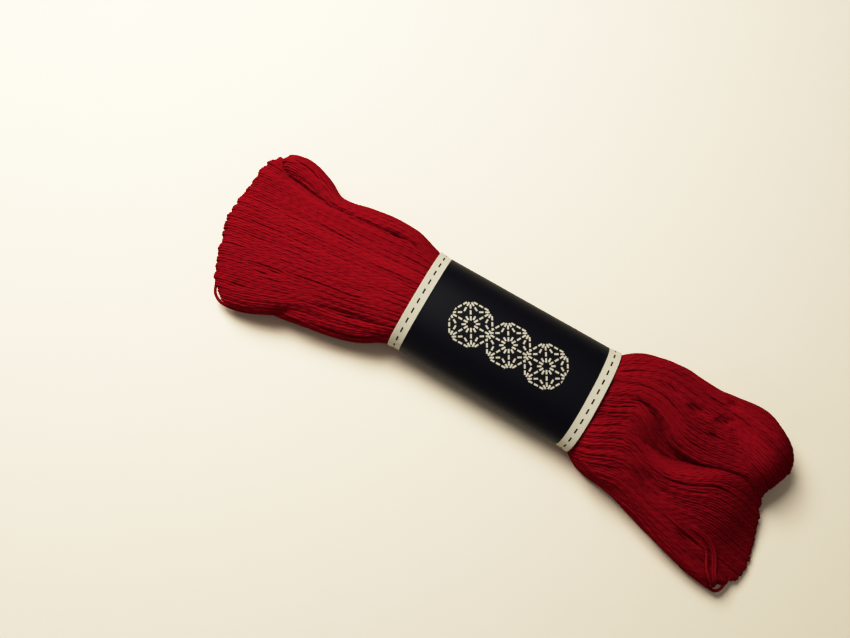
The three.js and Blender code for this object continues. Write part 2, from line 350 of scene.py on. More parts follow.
@dataclass(frozen=True)
class Bundle:
    """A run of strands from the band to its looped end and back underneath, in millimetres."""

    name: str
    side: Side
    nose: float
    stations: tuple[Station, ...]
    reaches: tuple[Reach, ...]
    drifts: tuple[Drift, ...] = ()
    scallop: float = 0.12
    straight: bool = False
    squareness: float = 2.5
    waist: float = 0.45
    top_points: int = 50
    nose_points: int = 15
    bottom_points: int = 30
    under_top_points: int = 33
    under_nose_points: int = 7
    least_strands: int = 3
    rim: float = 0.01
    girth_span: tuple[float, float] = (-0.6, 1.6)
    girth_steps: int = 880
    overrun: float = 1.2
    edge: Ramp = Ramp(0.45, 0.55)
    edge_power: float = 1.5

    def length(self) -> float:
        """Length of the bundle from the band to its loops."""
        return abs(self.reaches[0].x - self.stations[0].x)

    def girth(self) -> tuple[Floats, Floats]:
        """Measures round the widest section.

        Returns:
            Angles from under the far edge over the top to under the near edge, and each one's
            distance from the far edge.
        """
        widest = max(self.stations, key=lambda s: s.far - s.near)
        angle = np.linspace(*self.girth_span, self.girth_steps) * math.pi
        across, up = rounded(angle, self.squareness)
        y = across * (widest.far - widest.near) / 2
        z = up * (widest.high - widest.low) / 2
        run = distances(np.stack((y, z), axis=-1))
        return angle, run - np.interp(0.0, angle, run)

    def spread(self, pitch: float) -> Floats:
        """Places at which strands lie evenly over the top of the widest section.

        Args:
            pitch: distance between strands.

        Returns:
            Distances round the section from its far edge.
        """
        over_top = float(np.interp(math.pi, *self.girth()))
        count = max(self.least_strands, round(over_top / pitch))
        return (np.arange(count) + 0.5) / count * over_top

    def angles(self, places: Floats, course: Course) -> Floats:
        """Turns places round the section into angles, with the bundle's own drift along the hank.

        Args:
            places: distances round the section from its far edge, strands by points.
            course: where along the strands the points are.

        Returns:
            The angles, strands by points.
        """
        angle, run = self.girth()
        if not self.drifts:
            return np.clip(np.interp(places, run, angle), self.rim, math.pi - self.rim)
        x = self.stations[0].x + self.side.value * course.share * self.length()
        lie = Track.through(self.drifts, "x", "shift")(x)
        return np.interp(places + np.where(course.turn > 0, 0.0, lie), run, angle)

    def route(self, angle: Floats, inset: Floats, ends: Floats, course: Course) -> Floats:
        """Lays strands over the bundle, round its end and back below.

        Args:
            angle: place of each strand round the section at each point, strands by points.
            inset: depth of each point under the bundle's surface, strands by points.
            ends: how much further than the bundle each strand's loop reaches.
            course: where along the strands the points are.

        Returns:
            Points from the middle of the band, strands by points by 3.
        """
        share, turn = course
        sign = self.side.value
        across, up = rounded(angle, self.squareness)
        end = Track.through(self.reaches, "across", "x")(across) + sign * (ends[:, None] - inset)
        start = self.stations[0].x
        nose = sign * (self.nose - inset)
        x = start + (end - nose - start) * share
        x = np.where((turn > 0) & (turn < math.pi), end - nose * (1 - np.sin(turn)), x)
        near, low = (Track.through(self.stations, "x", name)(x) + inset for name in ("near", "low"))
        far, high = (Track.through(self.stations, "x", name)(x) - inset for name in ("far", "high"))
        waist = low + self.waist * (high - low)
        lift = up * np.cos(turn)
        rise = np.where(lift > 0, high - waist, waist - low)
        y = (near + far) / 2 + (far - near) / 2 * across
        if self.straight:
            y = self.straightened(x, across, near, far, inset)
        return np.stack((x, y, waist + rise * lift), axis=-1)

    def straightened(
        self, x: Floats, across: Floats, near: Floats, far: Floats, inset: Floats
    ) -> Floats:
        """Places across the hank of strands that run straight inside a bundle with uneven edges.

        Args:
            x: places along the hank.
            across: each strand's place in the section, from -1 near to 1 far.
            near: the near edge there.
            far: the far edge there.
            inset: depth under the surface.

        Returns:
            Places across the hank.
        """
        first = self.stations[0]
        last = self.stations[-2]
        share = np.clip((x - first.x) / (last.x - first.x), 0, self.overrun)
        near_line = first.near + (last.near - first.near) * share + inset
        far_line = first.far + (last.far - first.far) * share - inset
        line = (near_line + far_line) / 2 + (far_line - near_line) / 2 * across
        gap = np.where(across > 0, far - far_line, near - near_line)
        return line + gap * self.edge(np.abs(across)) ** self.edge_power

    def strands(self, rng: Generator, stock: ThreadStock) -> Floats:
        """Routes of the strands that show.

        Args:
            rng: source of the unevenness.
            stock: the thread.

        Returns:
            Points from the middle of the band, strands by points by 3.
        """
        base = self.spread(stock.pitch)
        count = len(base)
        bend = np.linspace(0, math.pi, self.nose_points + 2)[1:-1]
        course = Course.laid(self.top_points, bend, self.bottom_points)
        along = course.share * self.length()
        place, reach = stock.grouped(rng, count)
        free = stock.free(course.share)
        stray = (rng.random(count) < stock.stray_share)[:, None] * free
        shift = stock.shared.over(rng, count, along) + stock.own.over(rng, count, along)
        shift = shift + stray * stock.stray.over(rng, count, along)
        calm = 1 - stock.calming * stock.calm(course.share)
        pinch = stock.pinch * place[:, None] * stock.looped(course.share)
        shift = shift * np.maximum(free, stock.held) * calm - pinch
        angle = self.angles(base[:, None] + shift, course)
        stack = rng.choice(stock.stack, count)[:, None] * (1 - course.share) ** stock.stack_fade
        lay = stock.lay.size + stock.lay.over(rng, count, along)
        inset = stock.radius - stock.bedding + lay + stack - stock.stray_lift * stray
        loose = rng.uniform(-stock.loop_stray, stock.loop_stray, count)
        ends = self.scallop * reach - stock.loop_round * place**2 + loose
        return self.route(angle, inset, ends, course)

    def under_strands(self, rng: Generator, stock: ThreadStock) -> Floats:
        """Routes of the strands that show only where the upper ones stand apart.

        Args:
            rng: source of the unevenness.
            stock: the thread.

        Returns:
            Points from the middle of the band, strands by points by 3.
        """
        base = self.spread(stock.pitch * stock.under_pitch)
        count = len(base)
        bend = np.linspace(0, math.pi * stock.under_turn, self.under_nose_points + 1)[1:]
        course = Course.laid(self.under_top_points, bend, bottom=0)
        along = course.share * self.length()
        shared = stock.shared.over(rng, count, along)
        own = stock.under_own * stock.own.over(rng, count, along)
        angle = self.angles(base[:, None] + (shared + own), course)
        inset = stock.under_depth * stock.radius + stock.lay.over(rng, count, along)
        return self.route(angle, inset, np.full(count, stock.under_reach), course)


def tube_rings(points: Floats, radius: float, sides: int) -> Floats:
    """Rings of points round strands.

    Args:
        points: centre lines, strands by points by 3.
        radius: the strands' radius, in the same unit.
        sides: how many points each ring has.

    Returns:
        Ring points, strands by points by sides by 3.
    """
    tangent = np.gradient(points, axis=1)
    tangent /= np.linalg.norm(tangent, axis=-1, keepdims=True)
    normal = np.empty_like(points)
    first = np.zeros_like(points[:, 0])
    first[:, 1] = 1.0
    for k in range(points.shape[1]):
        first = first - tangent[:, k] * np.sum(first * tangent[:, k], axis=-1, keepdims=True)
        first = first / np.linalg.norm(first, axis=-1, keepdims=True)
        normal[:, k] = first
    binormal = np.cross(tangent, normal)
    around = (np.arange(sides) / sides * math.tau)[:, None]
    ring = normal[..., None, :] * np.cos(around) + binormal[..., None, :] * np.sin(around)
    return points[..., None, :] + radius * ring


def tube_faces(strands: int, points: int, sides: int) -> list[list[int]]:
    """Faces of closed tubes whose points come strand by strand and ring by ring.

    Args:
        strands: how many tubes there are.
        points: how many rings each has.
        sides: how many points each ring has.

    Returns:
        Vertex numbers of each face: a tube's walls, its first cap and its last.
    """
    k, j = np.meshgrid(np.arange(points - 1), np.arange(sides), indexing="ij")
    corner = k * sides + j
    ahead = k * sides + (j + 1) % sides
    walls = np.stack((corner, ahead, ahead + sides, corner + sides), axis=-1).reshape(-1, 4)
    size = points * sides
    one = [*walls.tolist(), list(range(sides))[::-1], list(range(size - sides, size))]
    return [[start + number for number in face] for start in range(0, strands * size, size) for face in one]


def finished_mesh(bm: bmesh.types.BMesh, name: str) -> Mesh:
    """Turns a bmesh into a smooth mesh and frees it.

    Args:
        bm: the shape, in metres in the frame.
        name: the mesh's name.

    Returns:
        The mesh.
    """
    mesh = bpy.data.meshes.new(name)
    bm.to_mesh(mesh)
    bm.free()
    mesh.shade_smooth()
    return mesh


def new_object(name: str, data: ID, *materials: Material) -> Object:
    """Puts a mesh, a light or a camera in the scene.

    Args:
        name: the object's name.
        data: what it holds.
        materials: the materials of a mesh's slots.

    Returns:
        The new object, at the origin.
    """
    piece = bpy.data.objects.new(name, data)
    bpy.context.scene.collection.objects.link(piece)
    for material in materials:
        data.materials.append(material)
    return piece


@dataclass(frozen=True)
class Signal:
    """A number or colour that a material works out at each point of a surface."""

    socket: NodeSocket

    def math(self, operation: str, *others: "Signal | float") -> "Signal":
        """Combines this number with others.

        Args:
            operation: name of the arithmetic, as Blender spells it.
            others: the other operands.

        Returns:
            The result.
        """
        node = self.socket.id_data.nodes.new("ShaderNodeMath")
        node.operation = operation
        feed(node, dict(enumerate((self, *others))))
        return Signal(node.outputs[0])

    __add__ = partialmethod(math, "ADD")
    __sub__ = partialmethod(math, "SUBTRACT")
    __mul__ = partialmethod(math, "MULTIPLY")
    __abs__ = partialmethod(math, "ABSOLUTE")
    __lt__ = partialmethod(math, "LESS_THAN")
    __gt__ = partialmethod(math, "GREATER_THAN")
    repeat = partialmethod(math, "FLOORED_MODULO")
    most = partialmethod(math, "MAXIMUM")
    least = partialmethod(math, "MINIMUM")


Paint = Signal | Colour
Inputs = Mapping[str | int, Paint | float]


def feed(node: Node, inputs: Inputs) -> None:
    """Gives a node its inputs.

    Args:
        node: the node.
        inputs: what each input gets, by its name or number: a signal, or a plain number or colour.
    """
    for place, value in inputs.items():
        if isinstance(value, Signal):
            node.id_data.links.new(value.socket, node.inputs[place])
        else:
            node.inputs[place].default_value = (*value, 1.0) if isinstance(value, tuple) else value


class Palette:
    """A material under construction, with short ways to the nodes that this object needs."""

    def __init__(self, name: str, **plain: float) -> None:
        """Starts a material.

        Args:
            name: the material's name.
            plain: numbers that its shader keeps all over, with _ for a space in an input's name.
        """
        self.material = bpy.data.materials.new(name)
        self.material.use_nodes = True
        self.tree = self.material.node_tree
        self.shader = self.tree.nodes["Principled BSDF"]
        feed(self.shader, {place.replace("_", " "): value for place, value in plain.items()})

    def node(self, kind: str, inputs: Inputs, **settings: str) -> Node:
        """Adds a node.

        Args:
            kind: Blender's name for such a node.
            inputs: what its inputs get.
            settings: its other settings.

        Returns:
            The node.
        """
        node = self.tree.nodes.new(kind)
        for name, value in settings.items():
            setattr(node, name, value)
        feed(node, inputs)
        return node

    def place(self, kind: str) -> Signal:
        """Where on the surface a point is, in UV or Object coordinates."""
        return Signal(self.node("ShaderNodeTexCoord", {}).outputs[kind])

    def uv(self) -> tuple[Signal, Signal]:
        """The two numbers of the piece's own UV map."""
        parts = self.node("ShaderNodeSeparateXYZ", {0: self.place("UV")})
        return Signal(parts.outputs[0]), Signal(parts.outputs[1])

    def attribute(self, name: str) -> Signal:
        """A number stored on the mesh."""
        return Signal(self.node("ShaderNodeAttribute", {}, attribute_name=name).outputs["Fac"])

    def noise(self, scale: float, detail: float = 3.0) -> Signal:
        """Noise about 0.5, fixed to the object, with that many clouds in a metre and finer layers."""
        inputs = {"Scale": scale, "Detail": detail, "Vector": self.place("Object")}
        return Signal(self.node("ShaderNodeTexNoise", inputs).outputs["Fac"])

    def mix(self, factor: Signal, low: Paint, high: Paint) -> Signal:
        """The first colour where the factor is 0, and the second where it is 1."""
        inputs = {0: factor, 6: low, 7: high}
        return Signal(self.node("ShaderNodeMix", inputs, data_type="RGBA").outputs[2])

    def mottled(self, colour: Colour, share: float, scale: float, detail: float = 3.0) -> Signal:
        """A colour that goes in clouds to a share of its own light."""
        return self.mix(self.noise(scale, detail), colour, tuple(share * c for c in colour))

    def bump(self, height: Signal, distance: float, strength: float) -> None:
        """Shades the surface as if it had that relief, with its depth in metres."""
        node = self.node("ShaderNodeBump", {"Strength": strength, "Distance": distance, "Height": height})
        feed(self.shader, {"Normal": Signal(node.outputs["Normal"])})

    def painted(self, colour: Signal) -> Material:
        """The material, with its colour."""
        feed(self.shader, {"Base Color": colour})
        return self.material


@dataclass(frozen=True)
class ThreadFinish:
    """Dyed cotton: matt, strands that differ a little, plies twisted round each other, and painted shade.
    """

    deep: Colour = (0.157, 0.0032, 0.0074)
    bright: Colour = (0.248, 0.0056, 0.0122)
    # Painted shade: the thread deep in the hank is coloured darker than the strands
    core: Colour = (0.040, 0.0008, 0.0016)
    twist_spread: float = 9.0
    ridge_power: float = 0.6
    # Painted shade: how much darker the colour is in the grooves between plies
    painted_groove_shade: float = 0.5
    own_tone: float = 0.6
    cloud_tone: float = 0.45
    tone_drop: float = 0.1
    fuzz: float = 0.35

    def strand_material(self, stock: ThreadStock) -> Material:
        """Material of the strands.

        Args:
            stock: the thread, for its twist.

        Returns:
            The material.
        """
        palette = Palette("thread_cotton", Roughness=0.7, Specular_IOR_Level=0.0)
        around, along = palette.uv()
        own = palette.attribute("tone")
        turns = around * float(stock.plies) + along * (1.0 / (stock.twist_pitch * MM))
        twist = turns + own * self.twist_spread
        ridge = (abs(twist.repeat(1.0) - 0.5) * -2.0 + 1.0).math("POWER", self.ridge_power)
        tone = own * self.own_tone + palette.noise(scale=260.0) * self.cloud_tone - self.tone_drop
        # Painted shade: the colour darkens in the grooves between the plies
        tone_with_painted_shade = tone * (ridge * self.painted_groove_shade + (1.0 - self.painted_groove_shade))
        relief = ridge + palette.noise(scale=5200.0, detail=2.0) * self.fuzz
        palette.bump(relief, distance=0.00014, strength=0.75)
        return palette.painted(palette.mix(tone_with_painted_shade.least(1.0).most(0.0), self.deep, self.bright))

    def core_painted_shade_material(self) -> Material:
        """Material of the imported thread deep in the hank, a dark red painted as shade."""
        palette = Palette("thread_core_painted_shade", Roughness=0.9, Specular_IOR_Level=0.0)
        return palette.painted(palette.mix(palette.noise(scale=900.0), self.core, self.deep))


@dataclass
class ThreadHank:
    """The wound thread on both sides of the band, in millimetres."""

    datum: Vector
    bundles: tuple[Bundle, ...]
    partings: tuple[Parting, ...]
    dents: tuple[Dent, ...]
    locks: tuple[Lock, ...]
    stock: ThreadStock = ThreadStock()
    finish: ThreadFinish = ThreadFinish()
    lock_points: int = 60
    lock_round: float = 0.06
    core_depth: float = 3.2
    weld: float = 0.01
    seed: int = 41

    def build(self) -> list[Object]:
        """Makes the core, every bundle's strands and the loose ones.

        Returns:
            The pieces.
        """
        rng = default_rng(self.seed)
        stock = self.stock
        material = self.finish.strand_material(stock)
        pieces = [self.core()]
        for bundle in self.bundles:
            upper = bundle.strands(rng, stock)
            under = bundle.under_strands(rng, stock)
            layers = (("strands", upper, stock.sides), ("under", under, stock.under_sides))
            for layer, lines, sides in layers:
                pieces.append(self.strand_piece(f"{bundle.name}_{layer}", lines, sides, rng, material))
        lines = np.concatenate([self.lock_lines(lock) for lock in self.locks])
        pieces.append(self.strand_piece("loose_strands", lines, stock.sides, rng, material))
        for piece in pieces:
            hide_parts("hank")
            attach(piece, "root")
        return pieces

    def lock_lines(self, lock: Lock) -> Floats:
        """Centre lines of a lock's strands, laid side by side in a low round ridge.

        Args:
            lock: the strands and their way.

        Returns:
            Points from the middle of the band, strands by points by 3.
        """
        middle = smooth_line(lock.points, self.lock_points)
        ahead = np.gradient(middle, axis=0)
        beside = np.stack((-ahead[:, 1], ahead[:, 0], np.zeros(len(ahead))), axis=-1)
        beside /= np.linalg.norm(beside, axis=-1, keepdims=True)
        place = np.arange(lock.strands) - (lock.strands - 1) / 2
        lines = middle[None] + beside[None] * place[:, None, None] * self.stock.pitch
        lines[..., 2] -= self.lock_round * place[:, None] ** 2
        return lines

    def core(self) -> Object:
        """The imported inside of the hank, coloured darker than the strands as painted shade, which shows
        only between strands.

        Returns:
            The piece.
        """
        bm = bmesh.new()
        bm.from_mesh(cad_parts["hank"].data)
        bmesh.ops.remove_doubles(bm, verts=bm.verts, dist=self.weld * MM)
        bm.normal_update()
        inward = np.array([vertex.co - vertex.normal * self.core_depth * MM for vertex in bm.verts])
        datum = np.array(self.datum)
        sunk = moved((inward - datum) / MM, self.dents) * MM + datum
        for vertex, place in zip(bm.verts, sunk):
            vertex.co = (place[0], place[1], max(place[2], self.core_depth * MM))
        return new_object("thread_core", finished_mesh(bm, "thread_core"), self.finish.core_painted_shade_material())

    def strand_piece(
        self,
        name: str,
        points: Floats,
        sides: int,
        rng: Generator,
        material: Material,
    ) -> Object:
        """Makes one mesh of many strands.

        Args:
            name: the piece's name.
            points: the strands' centre lines from the middle of the band.
            sides: how many sides a strand has.
            rng: source of the strands' tones.
            material: their material.

        Returns:
            The piece.
        """
        laid = moved(moved(points, self.partings), self.dents)
        laid[..., 2] = np.maximum(laid[..., 2], self.stock.radius)
        placed = laid * MM + np.array(self.datum)
        strands, count, _ = placed.shape
        rings = tube_rings(placed, self.stock.radius * MM, sides)
        mesh = bpy.data.meshes.new(name)
        mesh.from_pydata(rings.reshape(-1, 3), [], tube_faces(strands, count, sides))
        mesh.shade_smooth()
        self.map_strands(mesh, placed, sides)
        tone = np.repeat(rng.uniform(0, 1, strands), count * sides)
        mesh.attributes.new("tone", "FLOAT", "POINT").data.foreach_set("value", tone)
        return new_object(name, mesh, material)

    def map_strands(self, mesh: Mesh, placed: Floats, sides: int) -> None:
        """Gives strands a UV map: the turn round the strand, and metres along it.

        Args:
            mesh: the strands' mesh.
            placed: their centre lines in metres.
            sides: how many sides a strand has.
        """
        corner = np.empty(len(mesh.loops), dtype=np.int64)
        mesh.loops.foreach_get("vertex_index", corner)
        side = corner % sides
        wall_corners = 4 * sides * (placed.shape[1] - 1)
        order = np.arange(len(corner)) % (wall_corners + 2 * sides)
        # The last wall of a ring ends at a full turn, where the first one starts at none
        closes = (order < wall_corners) & (order // 4 % sides == sides - 1) & (side == 0)
        turn = np.where(closes, sides, side) / sides
        uv = np.stack((turn, distances(placed).reshape(-1)[corner // sides]), axis=-1)
        mesh.uv_layers.new(name="strand").data.foreach_set("uv", uv.reshape(-1))


@dataclass(frozen=True)
class PaperFinish:
    """Printed paper: a navy field between two pale borders with a line of printed stitches in each."""

    navy: Colour = (0.0011, 0.0010, 0.0030)
    pale: Colour = (0.48, 0.455, 0.37)
    border: float = 3.0
    stitch_length: float = 1.3
    stitch_pitch: float = 2.56
    stitch_width: float = 0.36
    stitch_offset: float = 1.45
    right_offset: float = 0.73

    # Hemp leaves, with where the stitches start and end on each kind of line
    leaves: int = 3
    leaf_size: float = 5.6
    leaf_line: float = 0.42
    leaf_stitch: float = 1.0
    leaf_pitch: float = 1.4
    rib_span: tuple[float, float] = (0.85, 4.7)
    spoke_span: tuple[float, float] = (1.1, 2.2)
    vein_span: tuple[float, float] = (0.3, 2.72)
    rim_end: float = 1.95

    def printed(self, length: float) -> Material:
        """Material of the printed face.

        Args:
            length: length of the band in millimetres.

        Returns:
            The material, which reads millimetres along and round the band from its UV map.
        """
        palette = Palette("band_print", Roughness=0.45, Specular_IOR_Level=0.12)
        along, around = palette.uv()
        edge = abs(along) * -1.0 + length / 2
        border = edge < self.border
        in_line = abs(edge - self.border / 2) < self.stitch_width / 2
        stitch_start = self.stitch_offset - self.stitch_length / 2
        stepped = around - (along > 0.0) * self.right_offset
        stitch = in_line * ((stepped - stitch_start).repeat(self.stitch_pitch) < self.stitch_length)
        pale = (border - stitch).most(self.hemp_leaves(along, around))
        ink = palette.mottled(self.navy, share=1.5, scale=1400.0, detail=5.0)
        paper = palette.mottled(self.pale, share=0.93, scale=600.0)
        palette.bump(palette.noise(scale=3800.0, detail=4.0), distance=0.00002, strength=0.25)
        return palette.painted(palette.mix(pale, ink, paper))

    def stitched(self, forward: Signal, beside: Signal, first: float, limit: float) -> Signal:
        """One on the stitches from first to limit along a line, else zero, all in millimetres."""
        dash = (forward - first).repeat(self.leaf_pitch) < self.leaf_stitch
        return dash * (abs(beside) < self.leaf_line / 2) * (forward > first) * (forward < limit)

    def hemp_leaves(self, along: Signal, around: Signal) -> Signal:
        """A row of stitched hemp leaves, a traditional figure, on the middle of the band.

        Args:
            along: millimetres along the band from its middle.
            around: millimetres round the band from its top.

        Returns:
            One on a stitch, else zero.
        """
        slant = math.pi / 6
        corner_u = self.leaf_size * math.cos(slant)
        corner_v = self.leaf_size * math.sin(slant)
        heart = self.leaf_size / math.sqrt(3)
        slot = (along * (1 / (2 * corner_u))).math("ROUND")
        x = along - slot * (2 * corner_u)
        angle = around.math("ARCTAN2", x)
        radius = (x * x + around * around).math("SQRT")
        folded = abs((angle + 2 * slant).repeat(2 * slant) - slant)
        u = radius * folded.math("COSINE")
        v = radius * folded.math("SINE")
        rib = u * math.cos(slant) + v * math.sin(slant)
        rib_side = u * math.sin(slant) - v * math.cos(slant)
        step_u = (corner_u - heart) / heart
        step_v = corner_v / heart
        vein = (u - heart) * step_u + v * step_v
        vein_side = (u - heart) * step_v - v * step_u
        drawn = self.stitched(rib, rib_side, *self.rib_span)
        drawn = drawn.most(self.stitched(u, v, *self.spoke_span))
        drawn = drawn.most(self.stitched(vein, vein_side, *self.vein_span))
        drawn = drawn.most(self.stitched(v, u - corner_u, -self.leaf_stitch / 2, self.rim_end))
        return drawn * (abs(slot) < self.leaves / 2)

    def bare(self) -> Material:
        """Material of the unprinted back and the cut edges."""
        palette = Palette("band_bare_paper", Roughness=0.8, Specular_IOR_Level=0.3)
        return palette.painted(palette.mottled(self.pale, share=0.9, scale=700.0))


@dataclass
class PaperBand:
    """A strip of paper wrapped round the hank and glued to itself underneath, in millimetres."""

    datum: Vector
    length: float = 48.2
    width_left: float = 24.9
    width_right: float = 26.0
    height_left: float = 15.0
    height_right: float = 14.5
    press: float = 0.35
    squareness: float = 2.3
    thickness: float = 0.2
    lap: float = 7.0
    lap_ease: float = 3.0
    lap_sink: float = 0.25
    flare: float = 0.25
    flare_from: float = 0.9
    flare_over: float = 0.1
    seam: float = math.radians(245)
    wound: float = math.tau * 1.25
    section_points: int = 1500
    edge_cell: float = 0.12
    cells_along: int = 40
    cells_around: int = 150
    finish: PaperFinish = PaperFinish()

    def turns(self) -> Floats:
        """Angles round the band from the seam, past one turn."""
        return np.linspace(0, self.wound, self.section_points)

    def outline(self, x: float, sink: float) -> tuple[Floats, Floats]:
        """One turn and the lap of the band's section, starting at the seam.

        Args:
            x: place along the band.
            sink: how far under the outer face the covered end of the strip lies.

        Returns:
            Distances round from the seam, and the points there as y and z.
        """
        share = x / self.length + 0.5
        half = (self.width_left + (self.width_right - self.width_left) * share) / 2
        height = self.height_left + (self.height_right - self.height_left) * share
        lift = self.flare * max(0.0, abs(2 * share - 1) - self.flare_from) / self.flare_over
        half += lift
        height += lift
        across, up = rounded(self.seam + self.turns(), self.squareness)
        y = half * across
        z = np.maximum((height - self.press) / 2 + (height + self.press) / 2 * up, 0.0)
        run = distances(np.stack((y, z), axis=-1))
        covered = np.clip((self.lap + self.lap_ease - run) / self.lap_ease, 0, 1) * sink
        middle = height / 2
        z = middle + (z - middle) * (1 - covered / middle)
        return run, np.stack((y * (1 - covered / half), z), axis=-1)

    def distance(self, turn: float) -> float:
        """Distance from the seam round the middle of the band, through a turn in radians."""
        run, _ = self.outline(0.0, 0.0)
        return float(np.interp(turn, self.turns(), run))

    def along(self, share: float) -> float:
        """Place along the band of a line of the grid, with a narrow cell at each cut edge.

        Args:
            share: the line's place in the grid, from -0.5 to 0.5.

        Returns:
            Millimetres from the middle of the band.
        """
        inner = share * self.cells_along / (self.cells_along - 2)
        if abs(inner) > 0.5 + 0.5 / self.cells_along:
            return math.copysign(self.length / 2, share)
        return inner * (self.length - 2 * self.edge_cell)

    def build(self) -> Object:
        """Wraps the strip and gives it its thickness and print.

        Returns:
            The piece.
        """
        strip = self.distance(math.tau) + self.lap
        top = self.distance((math.pi / 2 - self.seam) % math.tau)
        bm = bmesh.new()
        layer = bm.loops.layers.uv.new("paper")
        bmesh.ops.create_grid(bm, x_segments=self.cells_along, y_segments=self.cells_around, size=0.5)
        for face in bm.faces:
            for loop in face.loops:
                loop[layer].uv = (self.along(loop.vert.co.x), (loop.vert.co.y + 0.5) * strip - top)
        for vertex in bm.verts:
            x = self.along(vertex.co.x)
            run, section = self.outline(x, self.lap_sink)
            y, z = (float(np.interp((vertex.co.y + 0.5) * strip, run, column)) for column in section.T)
            vertex.co = Vector((x, y, z)) * MM + self.datum
        bmesh.ops.reverse_faces(bm, faces=bm.faces)
        mesh = finished_mesh(bm, "paper_band")
        piece = new_object("paper_band", mesh, self.finish.printed(self.length), self.finish.bare())
        wall = piece.modifiers.new("thickness", "SOLIDIFY")
        wall.thickness = self.thickness * MM
        wall.offset = -1
        wall.material_offset = 1
        wall.material_offset_rim = 1
        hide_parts("band")
        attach(piece, "root")
        return piece


@dataclass(frozen=True)
class Lamp:
    """A soft square light that faces the skein, in metres and watts."""

    name: str
    place: Spot
    size: float
    power: float
    colour: Colour = WARM

    def hang(self) -> None:
        """Hangs the light where the camera doesn't see it."""
        light = bpy.data.lights.new(self.name, "AREA")
        light.size = self.size
        light.energy = self.power
        light.color = self.colour
        lamp = new_object(self.name, light)
        lamp.location = self.place
        lamp.rotation_euler = (-Vector(self.place)).to_track_quat("-Z", "Y").to_euler()
        lamp.visible_camera = False


@dataclass
class Studio:
    """A pale floor, soft light and the camera, which is placed in millimetres from the band."""

    datum: Vector
    eye: Spot = (-11.2, -36.1, 187.4)
    aim: Spot = (-19.9, -1.7, 0.0)
    roll: float = math.radians(30.1)
    lens: float = 33.04
    nearest: float = 0.01
    floor_colour: Colour = (0.82, 0.745, 0.60)
    floor_size: float = 2.4
    floor_cells: int = 4
    lamps: tuple[Lamp, ...] = (
        Lamp("window", place=(-0.185, 0.083, 0.262), size=0.16, power=1.66, colour=(1.0, 0.965, 0.90)),
        Lamp("overhead", place=(0.0, 0.10, 0.85), size=0.7, power=0.5),
        Lamp("fill", place=(-0.10, -0.50, 0.25), size=0.4, power=0.20),
    )
    glow: float = 0.13
    white: float = 1.7
    all_channels: int = 3
    curve: tuple[tuple[float, float], ...] = (
        (0.1, 0.08), (0.2, 0.19), (0.4, 0.43), (0.7, 0.72), (1.1, 0.90),
    )

    def build(self) -> None:
        """Makes the floor, the lights, the picture's response and the camera."""
        self.floor()
        self.lights()
        self.response()
        self.camera()

    def floor(self) -> None:
        """Lays the floor just under the skein."""
        bm = bmesh.new()
        cells = self.floor_cells
        bmesh.ops.create_grid(bm, x_segments=cells, y_segments=cells, size=self.floor_size / 2)
        palette = Palette("floor_paper", Roughness=0.85, Specular_IOR_Level=0.2)
        palette.bump(palette.noise(scale=900.0, detail=4.0), distance=0.0001, strength=0.15)
        paper = palette.painted(palette.mottled(self.floor_colour, share=0.97, scale=90.0))
        new_object("floor", finished_mesh(bm, "floor"), paper)

    def lights(self) -> None:
        """Hangs the lamps, the strongest at the fan end, and sets an even glow all round."""
        for lamp in self.lamps:
            lamp.hang()
        world = bpy.data.worlds.new("room")
        world.use_nodes = True
        feed(world.node_tree.nodes["Background"], {"Color": WARM, "Strength": self.glow})
        bpy.context.scene.world = world

    def response(self) -> None:
        """Gives the picture a camera's response: deep darks and soft highlights."""
        view = bpy.context.scene.view_settings
        view.view_transform = "Standard"
        view.use_curve_mapping = True
        mapping = view.curve_mapping
        mapping.white_level = (self.white, self.white, self.white)
        for light, shown in self.curve:
            mapping.curves[self.all_channels].points.new(light / self.white, shown)
        mapping.update()

    def camera(self) -> None:
        """Sets the camera above the skein, turned so that the hank runs down to the right."""
        eye = Vector(self.eye) * MM + self.datum
        forward = (Vector(self.aim) * MM + self.datum - eye).normalized()
        level = (Vector((1, 0, 0)) - forward * forward.x).normalized()
        fall = forward.cross(level)
        right = level * math.cos(self.roll) - fall * math.sin(self.roll)
        down = level * math.sin(self.roll) + fall * math.cos(self.roll)
        camera = bpy.data.cameras.new("camera")
        camera.lens = self.lens
        camera.clip_start = self.nearest
        holder = new_object("camera", camera)
        turn = Matrix((right, -down, -forward)).transposed().to_4x4()
        holder.matrix_world = Matrix.Translation(eye) @ turn
        bpy.context.scene.camera = holder


FAN = Bundle(
    name="fan",
    side=Side.LEFT,
    nose=5.5,
    straight=True,
    scallop=0.25,
    stations=table(
        Station,
        (-20.5, -11.8, 11.8, 14.1, 0.6),
        (-24.4, -12.2, 12.2, 14.3, 0.3),
        (-27.5, -13.4, 13.0, 14.4, -0.1),
        (-31.0, -14.4, 13.2, 14.1),
        (-38.0, -16.0, 12.7, 13.4),
        (-46.0, -17.7, 11.7, 12.6),
        (-52.0, -20.6, 11.2, 11.9),
        (-58.0, -23.0, 11.6, 11.2),
        (-64.0, -24.0, 13.2, 10.5),
        (-74.0, -24.0, 15.3, 9.7),
    ),
    reaches=table(
        Reach,
        (-1.0, -62.5), (-0.9, -65.3), (-0.75, -67.6), (-0.6, -69.0), (-0.4, -70.4), (-0.2, -71.6),
        (0.0, -73.0), (0.3, -73.3), (0.6, -73.0), (0.85, -72.6), (1.0, -70.9),
    ),
)

